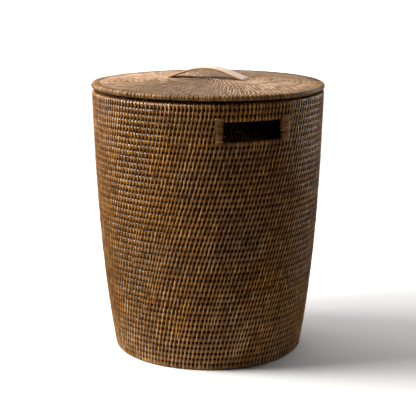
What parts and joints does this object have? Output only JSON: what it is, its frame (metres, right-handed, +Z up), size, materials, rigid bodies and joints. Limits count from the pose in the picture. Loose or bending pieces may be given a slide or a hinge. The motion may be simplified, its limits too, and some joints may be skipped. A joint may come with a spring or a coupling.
{
  "type": "laundry basket",
  "caption": "Tall round coiled-rattan laundry basket, tapering to the foot, with wrapped hand holes and a loose domed lid that lifts off by a leather strap.",
  "frame": {"origin": "on the floor, on the basket's upright axis", "axes": "+Z up along the axis; the two hand holes face -Y and +Y; +X to the right when the front hand hole faces the viewer"},
  "size_m": [0.4999, 0.5, 0.6116],
  "materials": {
    "wall_rattan": "brown stained and lacquered rattan, satin gloss on the peel, dark in the valleys",
    "edge_rattan": "brown stained rattan peel, closely bound, satin gloss",
    "binding_peel": "brown stained rattan peel, wrapped in close horizontal turns, satin gloss",
    "base_rattan": "brown stained rattan, dull",
    "lid_rattan": "paler, greyer brown rattan peel, closely stitched, low sheen",
    "strap_leather": "undyed vegetable-tanned leather, matt grain side, darker burnished cut edges",
    "toggle_cane": "plain cane with its skin on"
  },
  "bodies": {
    "basket": {"base_start_coil": "base_rattan", "base_coils": "base_rattan", "foot_coil": "edge_rattan", "lower_wall_coils": "wall_rattan", "middle_wall_coils": "wall_rattan", "upper_wall_coils": "wall_rattan", "sill_coil": "wall_rattan", "left_band_coils": "wall_rattan", "right_band_coils": "wall_rattan", "front_left_post": "binding_peel", "front_right_post": "binding_peel", "back_left_post": "binding_peel", "back_right_post": "binding_peel", "grip_coil": "wall_rattan", "collar_coil": "wall_rattan", "rim_coil": "edge_rattan"},
    "lid": {"lid_start_coil": "lid_rattan", "lid_coils": "lid_rattan", "lid_edge_coil": "lid_rattan", "locating_coil": "lid_rattan", "handle_strap": "strap_leather", "left_toggle": "toggle_cane", "right_toggle": "toggle_cane"}
  },
  "joints": [
    {"name": "lid_lift", "type": "slide", "parent": "basket", "child": "lid", "axis": [0, 0, 1], "range_m": [0, 0.25]}
  ]
}
